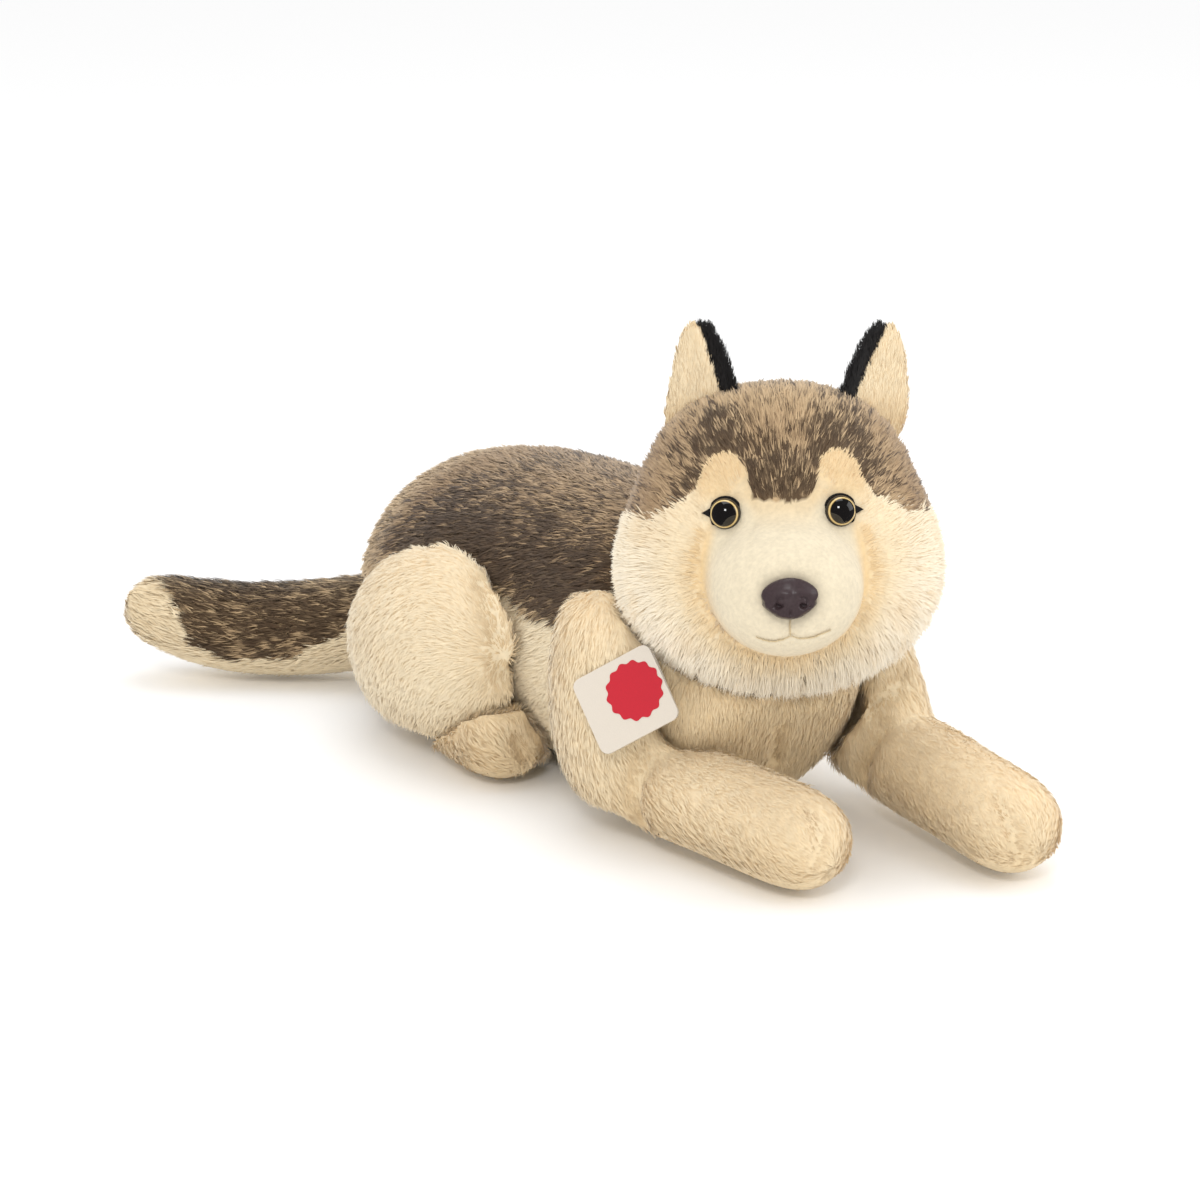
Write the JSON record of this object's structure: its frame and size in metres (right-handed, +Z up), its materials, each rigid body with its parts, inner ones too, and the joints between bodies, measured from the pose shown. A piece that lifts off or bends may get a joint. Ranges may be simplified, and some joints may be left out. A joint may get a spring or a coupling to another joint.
{
  "type": "plush wolf",
  "caption": "Stuffed wolf lying on its belly with its forelegs out and its tail curled to its right; cream with a grey-brown back, crown and tail.",
  "frame": {"origin": "on the floor at the middle of the flat rest patch under the belly, on the wolf's midline", "axes": "+Z up; the wolf's body runs along Y and its chest points along -Y; +X is the wolf's left side"},
  "size_m": [0.2869, 0.5177, 0.2415],
  "materials": {
    "cream_plush": "long soft pile, cream",
    "grey_brown_plush": "long grey-brown pile with dark streaks",
    "short_cream_plush": "short cream pile",
    "black_plush": "short black pile",
    "eye_plastic": "glossy black with a gold ring",
    "nose_plastic": "dark brown, half gloss",
    "washer_plastic": "white, unseen inside",
    "backing": "black felt",
    "card": "coated cream card"
  },
  "bodies": {
    "root": {"back_panel": "grey_brown_plush", "crown_panel": "grey_brown_plush", "ear_back_left": "black_plush", "ear_back_right": "black_plush", "ear_lining_left": "short_cream_plush", "ear_lining_right": "short_cream_plush", "eye_backing_left": "backing", "eye_backing_right": "backing", "eye_left": "eye_plastic", "eye_right": "eye_plastic", "eye_washer_left": "washer_plastic", "eye_washer_right": "washer_plastic", "face_panel": "short_cream_plush", "foreleg_left": "cream_plush", "foreleg_right": "cream_plush", "head": "cream_plush", "hind_paw_left": "cream_plush", "hind_paw_right": "cream_plush", "muzzle": "short_cream_plush", "nose": "nose_plastic", "nose_washer": "washer_plastic", "swing_tag": "card", "tail": "cream_plush", "tail_panel": "grey_brown_plush", "thigh_left": "cream_plush", "thigh_right": "cream_plush", "torso": "cream_plush", "upper_arm_left": "cream_plush", "upper_arm_right": "cream_plush"}
  },
  "joints": []
}
